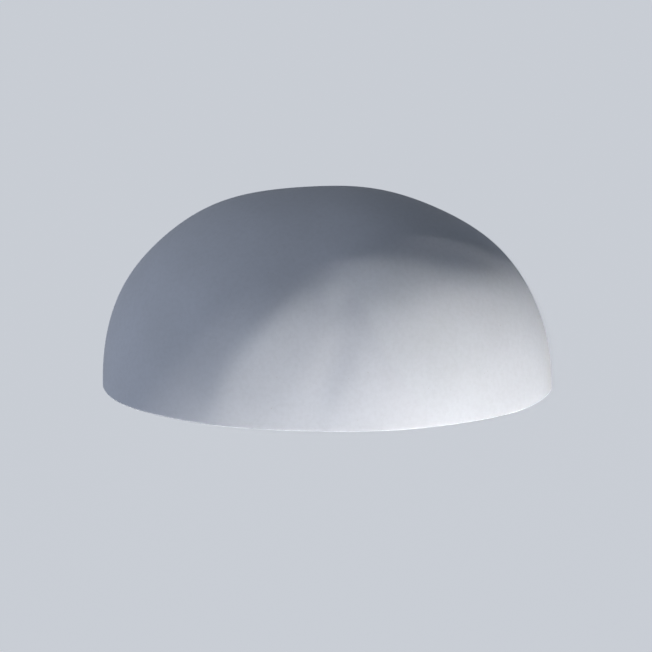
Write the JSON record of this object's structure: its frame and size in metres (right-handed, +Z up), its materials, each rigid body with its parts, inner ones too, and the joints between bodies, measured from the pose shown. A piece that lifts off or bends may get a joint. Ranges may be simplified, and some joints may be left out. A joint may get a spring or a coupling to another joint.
{
  "type": "wall sconce",
  "caption": "Half-bowl ceramic wall sconce, dome up and open side down, held on a steel wall bracket by clamp screws, with a screw-cap lamp on an arm inside.",
  "frame": {"origin": "on the wall plane, midway between the two wall screws; the plane y = 0 is the wall", "axes": "+X to the right along the wall, +Y into the wall, +Z up; the shade bulges towards -Y and opens down"},
  "size_m": [0.35, 0.1295, 0.1581],
  "materials": {
    "unglazed_ceramic": "matt, unglazed, smooth with soft hand-made waves",
    "zinc_steel": "zinc-plated sheet steel, satin",
    "zinc_fastener": "bright zinc-plated steel",
    "porcelain": "white glaze",
    "brass": "plain brass",
    "nickel": "nickel plate",
    "opal_glass": "inside-coated opal glass",
    "clear_glass": "clear glass",
    "black_glass": "black vitrified glass",
    "filament_wire": "drawn wire",
    "nylon": "natural moulded plastic",
    "black_rubber": "black rubber",
    "brown_insulation": "brown lead insulation",
    "blue_insulation": "blue lead insulation",
    "earth_insulation": "green and yellow lead insulation"
  },
  "bodies": {
    "bracket": {"wall_bracket": "zinc_steel", "weld_studs": "zinc_fastener", "ear_nuts": "zinc_fastener", "cable_grommet": "black_rubber", "lamp_arm": "zinc_steel", "arm_washers": "zinc_fastener", "arm_nuts": "zinc_fastener", "lampholder_body": "porcelain", "holder_screws": "zinc_fastener", "screw_shell": "brass", "neutral_terminal": "brass", "live_terminal": "brass", "contact_guide": "brass", "holder_terminal_screws": "zinc_fastener", "contact_spring": "nickel", "terminal_block": "nylon", "terminal_tubes": "brass", "terminal_screws": "zinc_fastener", "block_nut": "zinc_fastener", "live_lead": "brown_insulation", "neutral_lead": "blue_insulation", "earth_lead": "earth_insulation", "earth_ring": "nickel", "earth_washer": "zinc_fastener", "earth_nut": "brass"},
    "shade": {"shade": "unglazed_ceramic"},
    "contact": {"contact_plunger": "nickel"},
    "lamp": {"lamp_bulb": "opal_glass", "lamp_cap": "nickel", "lamp_insulator": "black_glass", "lamp_contact": "nickel", "lamp_stem": "clear_glass", "lamp_filament": "filament_wire"},
    "clamp_pad_left": {"clamp_pad_left": "nylon"},
    "clamp_screw_left": {"clamp_screw_left": "brass"},
    "clamp_pad_right": {"clamp_pad_right": "nylon"},
    "clamp_screw_right": {"clamp_screw_right": "brass"}
  },
  "joints": [
    {"name": "shade_lift", "type": "slide", "parent": "bracket", "child": "shade", "axis": [0, 0, 1], "range_m": [0, 0.019]},
    {"name": "contact_travel", "type": "slide", "parent": "bracket", "child": "contact", "axis": [0, 0, -1], "range_m": [0, 0.00363], "deforming": ["contact_spring"]},
    {"name": "lamp_turn", "type": "hinge", "parent": "contact", "child": "lamp", "pos_m": [0, -0.052, -0.02], "axis": [0, 0, -1], "range_deg": [0, 360]},
    {"name": "clamp_left_travel", "type": "slide", "parent": "bracket", "child": "clamp_pad_left", "axis": [0, -1, 0], "range_m": [0, 0.0014]},
    {"name": "clamp_left_turn", "type": "hinge", "parent": "clamp_pad_left", "child": "clamp_screw_left", "pos_m": [-0.058, -0.012, 0.03], "axis": [0, -1, 0], "range_deg": [0, 720]},
    {"name": "clamp_right_travel", "type": "slide", "parent": "bracket", "child": "clamp_pad_right", "axis": [0, -1, 0], "range_m": [0, 0.0014]},
    {"name": "clamp_right_turn", "type": "hinge", "parent": "clamp_pad_right", "child": "clamp_screw_right", "pos_m": [0.058, -0.012, 0.03], "axis": [0, -1, 0], "range_deg": [0, 720]}
  ],
  "couplings": [
    {"joint": "contact_travel", "follows": "lamp_turn", "m_per_rad": 0.00057773},
    {"joint": "clamp_left_travel", "follows": "clamp_left_turn", "m_per_rad": 0.0001114},
    {"joint": "clamp_right_travel", "follows": "clamp_right_turn", "m_per_rad": 0.0001114}
  ]
}
